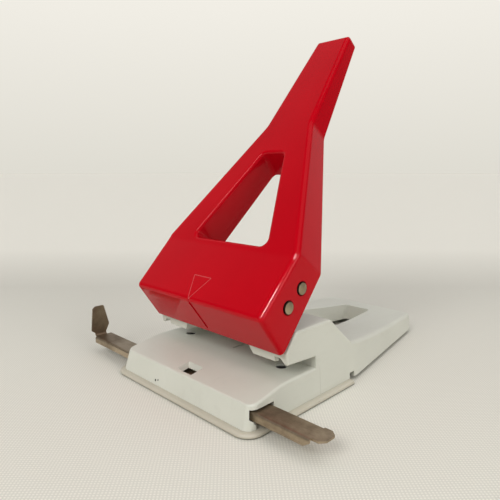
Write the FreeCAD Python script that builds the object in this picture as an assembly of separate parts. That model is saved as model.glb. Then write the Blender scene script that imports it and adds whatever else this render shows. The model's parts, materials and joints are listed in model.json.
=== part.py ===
import FreeCAD, Part
import math
import os

# Two-hole desk paper drill. Millimetres, +X to the operator's right, +Y to the back, +Z up.
# The origin is on the rest plane, straight below the middle of the two punch axes.

# --- driving dimensions -------------------------------------------------------------
HOLE_SPACING = 80.0          # ISO 838 hole pitch, both punches lie on y = 0
WALL = 3.0                   # general wall of the die-castings

# table block (front of the base casting)
TABLE_TOP = 19.1
TABLE_HALF_WIDTH = 55.0
RAMP_START = -16.0           # the table falls away towards the front from here
RAMP_ANGLE = 10.4            # degrees
BLOCK_BOTTOM = 2.8
BLOCK_REAR = 48.0
BLOCK_FRONT = -43.0          # at the lower edge
FLANK_TOP = 25.2             # the flanks lean in up to this level and stand upright above it
SIDE_DRAFT = 1.6             # lean of the flanks between lower edge and flank top
FRONT_DRAFT = 4.6
TABLE_FOLD_RADIUS = 60.0     # soft fold between table and ramp
TABLE_EDGE_ROUND = 1.5
BLOCK_CORNER_RADIUS = 5.0
WINDOW_HALF_WIDTH = 6.4      # sight window over the format rail
WINDOW_Y = (-37.6, -28.4)
WINDOW_BEVEL = 1.5
WINDOW_REAR_BEVEL = 2.9
CENTRE_MARK_Y = (1.0, 11.0)
CENTRE_MARK_HALF = 0.6
CENTRE_MARK_DEPTH = 0.8

# punch housing
THROAT_BACK = 11.6
THROAT_TOP_BACK = 25.4
THROAT_TOP_FRONT = 27.0
HOUSING_HALF_WIDTH = 55.0
HOUSING_TOP = 43.9
HOUSING_FRONT_LOW = -12.0
HOUSING_BROW = (-13.2, 33.6)     # (y, z) foremost point of the housing
HOUSING_TOP_FRONT = -5.7
HOUSING_TOP_REAR = 25.0
SLOPE_FOOT = (47.0, 25.2)        # (y, z) where the rear slope meets the rear frame
TOWER_INNER = 27.5               # inner flank of each punch tower
SKIRT_OUTER = 46.0               # outer end of the tower's front skirt
TOWER_RECESS_TOP = 30.2
TOWER_CHAMFER = (2.4, 4.2)       # (x, z) at the lower inner corner of each tower
TOWER_LIP = 1.5                  # the flank thins to this at its lower edge

# rear frame with its hand opening
FRAME_REAR = 160.5
FRAME_FRONT = 30.0               # buried in the housing
FRAME_TURN = 52.0                # the flanks turn inwards about here
FRAME_TURN_RADIUS = 40.0
FRAME_BOTTOM = 2.8
FRAME_REAR_HALF = 38.2
FRAME_TOP_MID = (94.0, 19.3)     # (y, z) on the hollow curve of the frame's top
FRAME_TOP_REAR = 15.4
FRAME_DRAFT = 1.3
FRAME_CORNER_RADIUS = 5.0
FRAME_EDGE_ROUND = 2.8
FRAME_NOTCH_Y = (44.5, 49.5)
FRAME_NOTCH_TOP = 6.3
FRAME_COLLAR_BOTTOM = 3.8        # the wall round the hand opening ends here
HAND_OPENING_REAR = (142.5, 11.0)    # (y, half-width)
HAND_OPENING_FRONT = (57.0, 27.2)
HAND_OPENING_RADIUS = 4.0

# lever: profile in its own frame, u along the top face, d down from it
LEVER_TILT = 51.9
LEVER_FRONT_TOP = (-29.6, 54.5)      # (y, z) of u = 0, d = 0 at rest
LEVER_CROWN = (-0.6, -2.9)           # (u, d) of the front edge
LEVER_FOLD = (36.8, 0.5)             # the top face folds here
LEVER_FOLD_RADIUS = 30.0
LEVER_TIP = (206.8, 0.0)
LEVER_TIP_LOW = (208.0, 9.1)
LEVER_HEEL = (41.0, 24.1)            # the underside turns up here
LEVER_CHIN = (-8.35, 23.1)
LEVER_HALF_WIDTHS = ((0.0, 54.25), (40.2, 54.3), (129.8, 19.0), (206.8, 13.3))
LEVER_DRAFT = 0.035                  # the flanks widen by this much per millimetre of depth
LEVER_OPENING = ((41.1, 31.2), (107.0, 8.4))     # (u, half-width) lower and upper edge, at the top face
LEVER_OPENING_LEAN = 0.21            # the upper wall comes down the lever by this much per millimetre
LEVER_OPENING_RADIUS = 4.0
LEVER_OPENING_WALL = 2.6
LEVER_OPENING_ROUND = 2.2
LEVER_EDGE_ROUND = 3.0
PIVOT_UD = (13.7, 11.5)
DRIVE_UD = (26.7, 14.7)

# pins, punches and their guides
PIN_RADIUS = 3.4
PIN_HALF_LENGTH = 55.3
PIN_DOME = 0.7
PIN_RECESS_RADIUS = 4.0      # counterbore round each pin end, in the lever
PIN_RECESS_FLOOR = 53.4
PIVOT_RING = (26.7, 27.6)
DRIVE_RING = (48.55, 49.45)
RUNNING_GAP = 0.05
SEATED_GAP = 0.03            # all round a piece that is pressed or dropped into its seat
PUNCH_RADIUS = 3.0
PUNCH_TIP = 27.4
LEVER_SWING = 50.0
CROSSHEAD_WIDTH = 9.6
CROSSHEAD_LENGTH = 15.0
CROSSHEAD_BELOW = 7.0
CROSSHEAD_ABOVE = 6.6
CROSSHEAD_SOCKET = 2.5
CROSSHEAD_LIFT_GAP = 0.45
SPRING_SEAT = 39.1
SPRING_RADIUS = 4.7
SPRING_WIRE = 1.1
SPRING_COILS = 5
COLLAR_THICKNESS = 0.8
GUIDE_RADIUS = 5.2
GUIDE_FLANGE_RADIUS = 6.4
GUIDE_BOTTOM = 29.0
DIE_RADIUS = 5.5
DIE_TOP = 18.1
DIE_BOTTOM = 10.1
TABLE_HOLE_RADIUS = 3.25
LUG_RADIUS = 6.0
LUG_INNER = (28.0, 31.0)
LUG_OUTER = (45.6, 48.2)

# format rail and what carries it
RAIL_Y = (-38.2, -24.9)
RAIL_TOP = 11.4
RAIL_FLANGE_END = 7.0
RAIL_SHEET = 1.0
RAIL_LEFT = -102.5
RAIL_FLANGE_RIGHT = 89.0
RAIL_RIGHT = 95.3
TAB_TOP = 32.4
RAIL_SLOT = ((-39.4, 12.5), (-40.3, 8.0), (-37.2, 5.6), (-37.2, 0.0), (-25.0, 0.0), (-25.0, 5.0), (-23.9, 5.0),
             (-23.9, 12.5))
COVER_TOP = 6.95
COVER_THICKNESS = 1.5
COVER_HALF_LENGTH = 48.5
COVER_Y = (-38.6, -14.0)
SCREW_Y = -18.2
SCREW_X = (-40.0, 0.0, 40.0)

# chip tray
TRAY_STEPS = ((0.0, 2.9), (0.6, 3.4), (1.5, 3.6), (2.2, 3.2), (2.75, 2.2))    # (z, reach beyond the block)
TRAY_FLOOR = 1.5
TRAY_RIM_TOP = 4.6
TRAY_RIM_GAP = 0.9
TRAY_RIM_WALL = 1.2
TRAY_REAR = 44.3
TRAY_CORNER_RADIUS = 6.0

# rubber feet under the rear frame
FOOT_XY = (27.5, 149.0)
FOOT_RADIUS = 5.5
FOOT_HEIGHT = 3.0
FOOT_STEM_RADIUS = 2.5

FAR = 400.0


# --- helpers -------------------------------------------------------------------------
def vec(x, y, z):
    return FreeCAD.Vector(x, y, z)


def plan(z):
    """Map 2-D points (x, y) to the level z."""
    return lambda a, b: vec(a, b, z)


def profile(x):
    """Map 2-D points (y, z) to the plane at x."""
    return lambda a, b: vec(x, a, b)


def rounded_wire(corners, place):
    """Closed wire through corners (a, b, radius); every radius becomes a tangent arc."""
    count = len(corners)
    joints = []
    for index, (a, b, radius) in enumerate(corners):
        here = vec(a, b, 0)
        back = vec(corners[index - 1][0], corners[index - 1][1], 0) - here
        ahead = vec(corners[(index + 1) % count][0], corners[(index + 1) % count][1], 0) - here
        back.normalize()
        ahead.normalize()
        if radius == 0:
            joints.append((here, None, here))
            continue
        half = back.getAngle(ahead) / 2
        reach = radius / math.tan(half)
        middle = back + ahead
        middle.normalize()
        arc_mid = here + middle * (radius / math.sin(half) - radius)
        joints.append((here + back * reach, arc_mid, here + ahead * reach))
    edges = []
    for index in range(count):
        start = joints[index - 1][2]
        enter, middle, leave = joints[index]
        edges.append(Part.makeLine(place(start.x, start.y), place(enter.x, enter.y)))
        if middle is not None:
            arc = Part.Arc(place(enter.x, enter.y), place(middle.x, middle.y), place(leave.x, leave.y))
            edges.append(arc.toShape())
    return Part.Wire(edges)


def slab(corners, place, direction):
    """Prism on a rounded outline."""
    return Part.Face(rounded_wire(corners, place)).extrude(direction)


def across(corners, half_width):
    """Prism of a (y, z) outline, symmetric about x = 0."""
    return slab(corners, profile(-half_width), vec(2 * half_width, 0, 0))


def box(x_range, y_range, z_range):
    size = [max(r) - min(r) for r in (x_range, y_range, z_range)]
    return Part.makeBox(*size, vec(min(x_range), min(y_range), min(z_range)))


def upright_prism(corners, y_range):
    """Prism of an (x, z) outline between two values of y."""
    return slab([(x, z, 0) for x, z in corners], lambda a, b: vec(a, y_range[0], b),
                vec(0, y_range[1] - y_range[0], 0))


def upright(radius, x, y, bottom, top):
    return Part.makeCylinder(radius, top - bottom, vec(x, y, bottom), vec(0, 0, 1))


def crosswise(radius, y, z, left, right):
    return Part.makeCylinder(radius, right - left, vec(left, y, z), vec(1, 0, 0))


def mirrored(shape):
    return shape.mirror(vec(0, 0, 0), vec(1, 0, 0))


def edges_where(shape, test):
    """Edges whose middle point and ends satisfy the test."""
    chosen = []
    for edge in shape.Edges:
        points = [edge.valueAt(edge.FirstParameter), edge.valueAt(edge.LastParameter)]
        points.append(edge.valueAt((edge.FirstParameter + edge.LastParameter) / 2))
        if all(test(point) for point in points):
            chosen.append(edge)
    return chosen


def clean(shape):
    """One solid without leftover seams."""
    tidy = shape.removeSplitter()
    solids = tidy.Solids
    return solids[0] if len(solids) == 1 else Part.Compound(solids)


# --- base casting ---------------------------------------------------------------------
def flank(z):
    """Half-width of the base at a level below the flank top."""
    return TABLE_HALF_WIDTH + SIDE_DRAFT * (FLANK_TOP - z) / (FLANK_TOP - BLOCK_BOTTOM)


def block_wire(grow, z, rear=BLOCK_REAR, radius=BLOCK_CORNER_RADIUS):
    """Plan of the table block at a level, its walls moved outwards by grow."""
    front = BLOCK_FRONT + FRONT_DRAFT * (z - BLOCK_BOTTOM) / (TABLE_TOP - BLOCK_BOTTOM) - grow
    half = flank(z) + grow
    turn = max(radius + grow, 1.0)
    return rounded_wire([(half, front, turn), (half, rear, 0), (-half, rear, 0), (-half, front, turn)], plan(z))


def block_solid(grow, bottom, top):
    """Drafted block between two levels."""
    return Part.makeLoft([block_wire(grow, bottom), block_wire(grow, top)], True, True)


def on_ramp(shape):
    """Tilt a shape made for the level table onto the ramp."""
    shape = shape.copy()
    shape.rotate(vec(0, RAMP_START, TABLE_TOP), vec(1, 0, 0), RAMP_ANGLE)
    return shape


def over_ramp(depth):
    """Everything above the table and its ramp, lowered by depth, for cutting."""
    run = 50.0
    level = TABLE_TOP - depth
    low = level - run * math.tan(math.radians(RAMP_ANGLE))
    outline = [(RAMP_START - run, low, 0), (RAMP_START, level, TABLE_FOLD_RADIUS), (FAR, level, 0),
               (FAR, level + 40, 0), (RAMP_START - run, level + 40, 0)]
    return across(outline, FAR)


def table_block():
    block = block_solid(0.0, BLOCK_BOTTOM, TABLE_TOP).cut(over_ramp(0.0))
    ramp = math.tan(math.radians(RAMP_ANGLE))

    def on_rim(edge):
        first, last = edge.valueAt(edge.FirstParameter), edge.valueAt(edge.LastParameter)
        middle = edge.valueAt((edge.FirstParameter + edge.LastParameter) / 2)
        high = all(p.z > min(TABLE_TOP, TABLE_TOP + (p.y - RAMP_START) * ramp) - 0.6 for p in (first, middle, last))
        crossing = abs(middle.x) < 30 and middle.y > BLOCK_FRONT + FRONT_DRAFT + 2
        return high and not crossing

    return block.makeFillet(TABLE_EDGE_ROUND, [e for e in block.Edges if on_rim(e)])


def shoulder_block():
    """Body of the base behind the paper stop, up to the flank top."""
    return block_solid(0.0, BLOCK_BOTTOM, FLANK_TOP).common(
        box((-FAR, FAR), (THROAT_BACK, SLOPE_FOOT[0]), (0, FLANK_TOP)))


def housing_profile():
    return [(HOUSING_FRONT_LOW, THROAT_TOP_FRONT, 0.8),
            (HOUSING_BROW[0], HOUSING_BROW[1], 1.0),
            (HOUSING_TOP_FRONT, HOUSING_TOP, 1.6),
            (HOUSING_TOP_REAR, HOUSING_TOP, 3.0),
            (SLOPE_FOOT[0], SLOPE_FOOT[1], 0),
            (SLOPE_FOOT[0], TABLE_TOP - 8, 0),
            (THROAT_BACK, TABLE_TOP - 8, 0),
            (THROAT_BACK, THROAT_TOP_BACK, 0)]


def housing_block():
    housing = across(housing_profile(), HOUSING_HALF_WIDTH)
    long_edges = edges_where(housing, lambda p: abs(abs(p.x) - HOUSING_HALF_WIDTH) < 0.01
                             and p.z > THROAT_TOP_FRONT + 0.9 and p.y > HOUSING_BROW[0] - 1)
    rim = [e for e in long_edges if e.valueAt(e.FirstParameter).y < SLOPE_FOOT[0] + 1]
    return housing.makeFillet(1.2, rim)


def frame_top_wire(drop, bottom):
    """Closed (y, z) wire under the frame's top curve, lowered by drop."""
    foot, middle, rear = [vec(-FAR, y, z) for y, z in (SLOPE_FOOT, FRAME_TOP_MID, (FRAME_REAR, FRAME_TOP_REAR))]
    circle = Part.Circle(foot, middle, rear)
    rise = math.sqrt(circle.Radius ** 2 - (FRAME_FRONT - circle.Center.y) ** 2)
    front = vec(-FAR, FRAME_FRONT, circle.Center.z - rise)
    down = vec(0, 0, -drop)
    top = Part.Arc(front + down, middle + down, rear + down).toShape()
    front_low = vec(-FAR, FRAME_FRONT, bottom)
    rear_low = vec(-FAR, FRAME_REAR, bottom)
    return Part.Wire([Part.makeLine(front_low, front + down), top, Part.makeLine(rear + down, rear_low),
                      Part.makeLine(rear_low, front_low)])


def frame_plan(inset, level):
    """Plan of the rear frame at a level; the flanks lean in by the draft."""
    lean = FRAME_DRAFT * (level - FRAME_BOTTOM) / (TABLE_TOP - FRAME_BOTTOM)
    radius = max(FRAME_CORNER_RADIUS - inset, 1.0)
    front_half = flank(level) - inset
    rear_half = FRAME_REAR_HALF - lean - inset
    rear = FRAME_REAR - lean * 0.5 - inset
    right = [(front_half, FRAME_FRONT, 0), (front_half, FRAME_TURN, FRAME_TURN_RADIUS), (rear_half, rear, radius)]
    return rounded_wire(right + [(-x, y, r) for x, y, r in reversed(right)], plan(level))


def frame_prism(inset, drop, bottom):
    """Rear frame without its opening: drafted plan under the hollow top curve."""
    body = Part.makeLoft([frame_plan(inset, FRAME_BOTTOM), frame_plan(inset, FLANK_TOP + 10)], True, True)
    crown = Part.Face(frame_top_wire(drop, bottom)).extrude(vec(2 * FAR, 0, 0))
    return body.common(crown)


def opening_prism(grow):
    """The hand opening, its edges moved outwards by grow."""
    rear, rear_half = HAND_OPENING_REAR
    front, front_half = HAND_OPENING_FRONT
    return slab([(front_half + grow, front - grow, HAND_OPENING_RADIUS + grow),
                 (rear_half + grow, rear + grow, HAND_OPENING_RADIUS + grow),
                 (-rear_half - grow, rear + grow, HAND_OPENING_RADIUS + grow),
                 (-front_half - grow, front - grow, HAND_OPENING_RADIUS + grow)],
                plan(-1.0), vec(0, 0, 60))


def rear_frame():
    frame = frame_prism(0.0, 0.0, FRAME_BOTTOM)
    rim = edges_where(frame, lambda p: p.z > FRAME_TOP_REAR - 0.5)
    rim = [e for e in rim if e.CenterOfMass.y > FRAME_FRONT + 0.5]
    return frame.makeFillet(FRAME_EDGE_ROUND, rim)


def tower_recesses():
    """Space left open between, under and beside the punch towers."""
    wide, high = TOWER_CHAMFER
    inner = TOWER_INNER
    between = upright_prism([(inner + wide, TABLE_TOP), (inner + wide, THROAT_TOP_FRONT),
                             (inner, THROAT_TOP_FRONT + high), (inner, HOUSING_TOP + 5), (-inner, HOUSING_TOP + 5),
                             (-inner, THROAT_TOP_FRONT + high), (-inner - wide, THROAT_TOP_FRONT),
                             (-inner - wide, TABLE_TOP)], (-30, THROAT_BACK))
    outer = HOUSING_HALF_WIDTH - TOWER_LIP

    def recess(start, y_range):
        return upright_prism([(start, TABLE_TOP), (outer, TABLE_TOP), (outer, THROAT_TOP_FRONT - 0.3),
                              (outer - 3.5, TOWER_RECESS_TOP), (start, TOWER_RECESS_TOP)], y_range)

    under = recess(TOWER_INNER + WALL + wide, (HOUSING_FRONT_LOW + WALL, THROAT_BACK - WALL))
    beside = recess(SKIRT_OUTER, (-20, HOUSING_FRONT_LOW + WALL + 1))
    return between.fuse([under, mirrored(under), beside, mirrored(beside)])


def housing_cavity():
    """Hollow behind the paper stop, open to the underside."""
    outline = [(THROAT_BACK + WALL, TABLE_TOP - 9, 0),
               (THROAT_BACK + WALL, HOUSING_TOP - WALL, 0),
               (HOUSING_TOP_REAR - 1.2, HOUSING_TOP - WALL, 0),
               (SLOPE_FOOT[0] - 2.2, SLOPE_FOOT[1] - WALL, 0),
               (SLOPE_FOOT[0] + 1.0, SLOPE_FOOT[1] - WALL, 0),
               (SLOPE_FOOT[0] + 1.0, TABLE_TOP - 9, 0)]
    return across(outline, HOUSING_HALF_WIDTH - WALL)


def underside_cavity():
    """Hollow of the table block, from the lower edge to the table plate."""
    hollow = block_solid(-WALL, BLOCK_BOTTOM - 0.01, TABLE_TOP - WALL)
    hollow = hollow.common(box((-FAR, FAR), (-FAR, BLOCK_REAR - 1.0), (0, TABLE_TOP)))
    return hollow.cut(over_ramp(WALL))


def frame_cavity():
    """Hollow of the rear frame, around the wall of the hand opening."""
    hollow = frame_prism(WALL, WALL, FRAME_BOTTOM - 0.01)
    hollow = hollow.common(box((-FAR, FAR), (SLOPE_FOOT[0] - 1, FRAME_REAR - WALL), (0, FAR)))
    return hollow.cut(opening_prism(WALL - 0.4))


def guide_rib():
    """Rib under the table that steers the rail's rear flange."""
    rear = RAIL_Y[1] + 0.15
    return box((-COVER_HALF_LENGTH, COVER_HALF_LENGTH), (rear, rear + 1.8), (COVER_TOP, TABLE_TOP - WALL))


def screw_bosses():
    return [upright(3.4, x, SCREW_Y, COVER_TOP, TABLE_TOP - WALL + 0.1) for x in SCREW_X]


def die_bosses():
    top = TABLE_TOP - WALL + 0.1
    return [upright(DIE_RADIUS + 2.2, s * HOLE_SPACING / 2, 0, DIE_BOTTOM, top) for s in (-1, 1)]


def foot_bosses():
    bosses = []
    for side in (-1, 1):
        boss = upright(FOOT_RADIUS + 1.0, side * FOOT_XY[0], FOOT_XY[1], FOOT_HEIGHT, FRAME_TOP_REAR - 1.0)
        bosses.append(boss)
    return bosses


def pivot_lug(x_range):
    """Ear that carries the pivot pin, standing on a punch tower."""
    y, z = lever_point(*PIVOT_UD)
    web = slab([(HOUSING_BROW[0] + 1.4, HOUSING_BROW[1] + 1.5, 0), (y - LUG_RADIUS, z, 0),
                (y + LUG_RADIUS, z, 0), (HOUSING_TOP_FRONT + 2.7, HOUSING_TOP - 1, 0)],
               profile(x_range[0]), vec(x_range[1] - x_range[0], 0, 0))
    return web.fuse(crosswise(LUG_RADIUS, y, z, *x_range))


def rail_passage():
    """Room for the rail inside the block and its slots in both flanks."""
    run = box((-FAR, FAR), (RAIL_Y[0] - 0.15, RAIL_Y[1] + 0.15), (COVER_TOP - 1.6, RAIL_TOP + 0.3))
    slot = slab([(y, z, 0) for y, z in RAIL_SLOT], profile(TABLE_HALF_WIDTH - WALL - 3), vec(FAR, 0, 0))
    return run.fuse([slot, mirrored(slot)])


def sight_window():
    """Bevelled window through the ramp, over the rail."""
    top, low = TABLE_TOP + 0.05, TABLE_TOP - WALL - 1.5

    def corners(inset, rear_inset):
        x, y0, y1 = WINDOW_HALF_WIDTH - inset, WINDOW_Y[0] + inset * 0.7, WINDOW_Y[1] - rear_inset
        return [(x, y0, 0.6), (x, y1, 0.6), (-x, y1, 0.6), (-x, y0, 0.6)]

    funnel = Part.makeLoft([rounded_wire(corners(WINDOW_BEVEL, WINDOW_REAR_BEVEL), plan(low)),
                            rounded_wire(corners(0.0, 0.0), plan(top))], True, True)
    return on_ramp(funnel)


def centre_mark():
    """Shallow groove in the table at the middle of the two punches."""
    return box((-CENTRE_MARK_HALF, CENTRE_MARK_HALF), CENTRE_MARK_Y, (TABLE_TOP - CENTRE_MARK_DEPTH, TABLE_TOP + 1))


def tail_notch():
    """Notch in each flank behind the chip tray."""
    return box((TABLE_HALF_WIDTH - 6, TABLE_HALF_WIDTH + 10), FRAME_NOTCH_Y, (0, FRAME_NOTCH_TOP))


def base_casting():
    casting = table_block().fuse([shoulder_block(), housing_block(), rear_frame()])
    casting = casting.cut([tower_recesses(), housing_cavity(), underside_cavity(), frame_cavity()])
    lugs = [pivot_lug(LUG_INNER), pivot_lug(LUG_OUTER)]
    added = [guide_rib()] + screw_bosses() + die_bosses() + foot_bosses() + lugs + [mirrored(l) for l in lugs]
    casting = casting.fuse(added)
    pivot_y, pivot_z = lever_point(*PIVOT_UD)
    notch = tail_notch()
    collar_foot = opening_prism(WALL).common(box((-FAR, FAR), (0, FAR), (0, FRAME_COLLAR_BOTTOM)))
    removed = [opening_prism(0.0), collar_foot, rail_passage(), sight_window(), centre_mark(), notch, mirrored(notch),
               crosswise(PIN_RADIUS + 0.02, pivot_y, pivot_z, -FAR, FAR)]
    for side in (-1, 1):
        x = side * HOLE_SPACING / 2
        removed += [upright(TABLE_HOLE_RADIUS, x, 0, 0, TABLE_TOP + 1),
                    upright(DIE_RADIUS, x, 0, 0, DIE_TOP),
                    upright(GUIDE_RADIUS, x, 0, TABLE_TOP + 0.01, HOUSING_TOP + 1),
                    upright(GUIDE_FLANGE_RADIUS, x, 0, SPRING_SEAT - 1.2, HOUSING_TOP + 1),
                    upright(FOOT_STEM_RADIUS, side * FOOT_XY[0], FOOT_XY[1], 0, 10.0)]
    removed += [upright(1.25, x, SCREW_Y, 0, COVER_TOP + 6.0) for x in SCREW_X]
    return clean(casting.cut(removed))


# --- lever -----------------------------------------------------------------------------
def lever_point(u, d):
    """Rest position (y, z) of a point of the lever's profile."""
    tilt = math.radians(LEVER_TILT)
    y0, z0 = LEVER_FRONT_TOP
    return y0 + u * math.cos(tilt) + d * math.sin(tilt), z0 + u * math.sin(tilt) - d * math.cos(tilt)


def stand_lever(shape):
    """Move a shape from the lever's own frame to its rest position."""
    shape = shape.copy()
    shape.rotate(vec(0, 0, 0), vec(1, 0, 0), LEVER_TILT)
    shape.translate(vec(0, *LEVER_FRONT_TOP))
    return shape


def offset_line(start, end, distance):
    """Line through start and end, moved by distance to its right."""
    run = vec(end[0] - start[0], end[1] - start[1], 0)
    run.normalize()
    aside = vec(run.y, -run.x, 0) * distance
    return vec(start[0], start[1], 0) + aside, run


def crossing(first, second):
    """(a, b) of the point where two lines of a plane meet."""
    (p, r), (q, t) = first, second
    reach = ((q.x - p.x) * t.y - (q.y - p.y) * t.x) / (r.x * t.y - r.y * t.x)
    return p.x + r.x * reach, p.y + r.y * reach


def lever_profile(inset):
    """(u, height) outline of the lever; inset moves the top, front and tip inwards and opens the underside."""
    drop = 6.0 if inset else 0.0
    chin, crown, fold, tip, tip_low, heel = [(u, -d) for u, d in (LEVER_CHIN, LEVER_CROWN, LEVER_FOLD, LEVER_TIP,
                                                                  LEVER_TIP_LOW, LEVER_HEEL)]
    front = offset_line(chin, crown, inset)
    block_top = offset_line(crown, fold, inset)
    arm_top = offset_line(fold, tip, inset)
    end = offset_line(tip, tip_low, inset)
    grip = offset_line(tip_low, heel, -drop)
    sole = offset_line(heel, chin, -drop)
    corners = [crossing(sole, front) + (0,), crossing(front, block_top) + (0,),
               crossing(block_top, arm_top) + (LEVER_FOLD_RADIUS + inset,), crossing(arm_top, end) + (0,),
               crossing(end, grip) + (0,), crossing(grip, sole) + (0,)]
    return corners


def lever_plan(inset, height):
    """(x, u) outline of the lever at a height over its top face."""
    right = []
    for index, (u, half) in enumerate(LEVER_HALF_WIDTHS):
        radius = (0, 6.0, 14.0, max(4.5 - inset, 1.0))[index]
        place_u = (u - 30, u, u, u - inset + 1.5)[index]
        right.append((half - inset - height * LEVER_DRAFT, place_u, radius))
    left = [(-x, u, r) for x, u, r in reversed(right)]
    return rounded_wire(right + left, plan(height))


def lever_prism(inset):
    side = across(lever_profile(inset), 80)
    top_view = Part.makeLoft([lever_plan(inset, -50.0), lever_plan(inset, 10.0)], True, True)
    return side.common(top_view)


def lever_opening(grow):
    """Hand opening with its leaning upper wall, its edges moved outwards by grow."""
    (low_u, low_half), (high_u, high_half) = LEVER_OPENING
    narrowing = (low_half - high_half) / (high_u - low_u)
    radius = LEVER_OPENING_RADIUS + grow

    def level(height):
        slip = height * LEVER_OPENING_LEAN
        right = [(low_half + grow * 1.1 + height * LEVER_DRAFT / 2, low_u - grow, radius),
                 (high_half + grow * 1.1 - slip * narrowing + height * LEVER_DRAFT / 2, high_u + grow + slip, radius)]
        return rounded_wire(right + [(-x, u, r) for x, u, r in reversed(right)], plan(height))

    return Part.makeLoft([level(-40.0), level(6.0)], True, True)


def lever_shell():
    """Lever casting in its own frame, top face at height 0."""
    outer = lever_prism(0.0)
    crown_height = -LEVER_CROWN[1]
    (low_u, low_half), (high_u, high_half) = LEVER_OPENING

    def on_top(p):
        share = min(max(p.y / LEVER_FOLD[0], 0.0), 1.0)
        return p.z > crown_height * (1 - share) - 1.0

    def on_opening(p):
        half = low_half + (high_half - low_half) * (p.y - low_u) / (high_u - low_u)
        return -1.2 < p.z < 0.1 and low_u - 1 < p.y < high_u + 1 and abs(p.x) < half + 1.5

    corners = edges_where(outer, lambda p: abs(p.x) > LEVER_HALF_WIDTHS[0][1] - 2.0 and p.y < 0.5)
    corners = [e for e in corners if abs(e.tangentAt(e.FirstParameter).x) < 0.2 and e.Length > 15]
    outer = outer.makeFillet(LEVER_EDGE_ROUND, edges_where(outer, on_top) + corners)
    shell = outer.cut(lever_prism(WALL))
    shell = shell.fuse(lever_opening(LEVER_OPENING_WALL).common(outer))
    shell = shell.cut(lever_opening(0.0))
    shell = shell.makeFillet(LEVER_OPENING_ROUND, edges_where(shell, on_opening))
    half = LEVER_HALF_WIDTHS[0][1] - WALL + 0.6
    for u, d in (PIVOT_UD, DRIVE_UD):
        boss = crosswise(PIN_RADIUS + 2.4, u, -d, half - 1.6, half + 1.0)
        shell = shell.fuse([boss, mirrored(boss)])
    holes = []
    for (u, d), gap in ((PIVOT_UD, RUNNING_GAP), (DRIVE_UD, 0.02)):
        recess = crosswise(PIN_RECESS_RADIUS, u, -d, PIN_RECESS_FLOOR, 80)
        holes += [crosswise(PIN_RADIUS + gap, u, -d, -80, 80), recess, mirrored(recess)]
    return shell.cut(holes)


def lever_casting():
    return clean(stand_lever(lever_shell()))


# --- pins, punches, springs --------------------------------------------------------------
def domed_pin(ud, half_length, groove):
    """Cross pin with domed ends and a groove for each retaining ring."""
    y, z = lever_point(*ud)
    pin = crosswise(PIN_RADIUS, y, z, -half_length, half_length)
    dome_radius = (PIN_RADIUS ** 2 + PIN_DOME ** 2) / (2 * PIN_DOME)
    centre = half_length + PIN_DOME - dome_radius
    dome = Part.makeSphere(dome_radius, vec(centre, y, z)).common(
        crosswise(PIN_RADIUS, y, z, half_length, half_length + 5))
    pin = pin.fuse([dome, mirrored(dome)])
    ring = crosswise(PIN_RADIUS + 1, y, z, *groove).cut(crosswise(PIN_RADIUS - 0.6, y, z, *groove))
    return clean(pin.cut([ring, mirrored(ring)]))


def ring_pair(ud, groove):
    """Two open retaining rings seated in the pin's grooves."""
    y, z = lever_point(*ud)
    ring = crosswise(5.0, y, z, groove[0] + 0.05, groove[1] - 0.05)
    ring = ring.cut(crosswise(PIN_RADIUS - 0.58, y, z, groove[0] - 1, groove[1] + 1))
    mouth = box((groove[0] - 1, groove[1] + 1), (y - 1.6, y + 1.6), (z - 7, z))
    ring = ring.cut(mouth)
    return Part.Compound([ring, mirrored(ring)])


def punch(side):
    """Hollow-ground round punch."""
    x = side * HOLE_SPACING / 2
    top = crosshead_base() + CROSSHEAD_SOCKET
    body = upright(PUNCH_RADIUS, x, 0, PUNCH_TIP, top)
    grind = Part.makeCylinder(4.6, 20, vec(x, -10, PUNCH_TIP - 3.6), vec(0, 1, 0))
    return clean(body.cut(grind))


def crosshead_base():
    return lever_point(*DRIVE_UD)[1] - CROSSHEAD_BELOW


def crosshead(side):
    """Slotted head on the punch; the drive pin works in its slot."""
    x = side * HOLE_SPACING / 2
    pin_y, pin_z = lever_point(*DRIVE_UD)
    half = CROSSHEAD_LENGTH / 2
    low, high = pin_z - CROSSHEAD_BELOW, pin_z + CROSSHEAD_ABOVE
    block = slab([(-half, low, 1.5), (-half, high, 3.5), (half, high, 3.5), (half, low, 1.5)],
                 profile(x - CROSSHEAD_WIDTH / 2), vec(CROSSHEAD_WIDTH, 0, 0))
    slot_low, slot_high = pin_z - PIN_RADIUS - 0.05, pin_z + PIN_RADIUS + CROSSHEAD_LIFT_GAP
    reach = PIN_RADIUS + 1.9
    corners = [(-reach, slot_low), (-reach, slot_high), (reach, slot_high), (reach, slot_low)]
    slot = slab([(y, z, 2.6) for y, z in corners], profile(x - CROSSHEAD_WIDTH), vec(2 * CROSSHEAD_WIDTH, 0, 0))
    socket = upright(PUNCH_RADIUS, x, 0, low - 1, low + CROSSHEAD_SOCKET)
    return clean(block.cut([slot, socket]))


def spring_collar(side):
    """Cup washer between the return spring and the crosshead."""
    x = side * HOLE_SPACING / 2
    top = crosshead_base()
    disc = upright(SPRING_RADIUS + 1.3, x, 0, top - COLLAR_THICKNESS, top)
    return clean(disc.cut(upright(PUNCH_RADIUS + 0.02, x, 0, top - 5, top + 1)))


def return_spring(side):
    """Open-coiled compression spring round the punch, of six-sided wire."""
    x = side * HOLE_SPACING / 2
    radius = SPRING_WIRE / 2
    low = SPRING_SEAT + radius + 0.05
    high = crosshead_base() - COLLAR_THICKNESS - radius - 0.05
    helix = Part.makeHelix((high - low) / SPRING_COILS, high - low, SPRING_RADIUS)
    turns = [math.radians(60 * index) for index in range(6)]
    corners = [vec(SPRING_RADIUS + radius * math.cos(turn), 0, radius * math.sin(turn)) for turn in turns]
    coil = Part.Wire(helix).makePipeShell([Part.makePolygon(corners + corners[:1])], True, True)
    coil.translate(vec(x, 0, low))
    return coil


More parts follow.
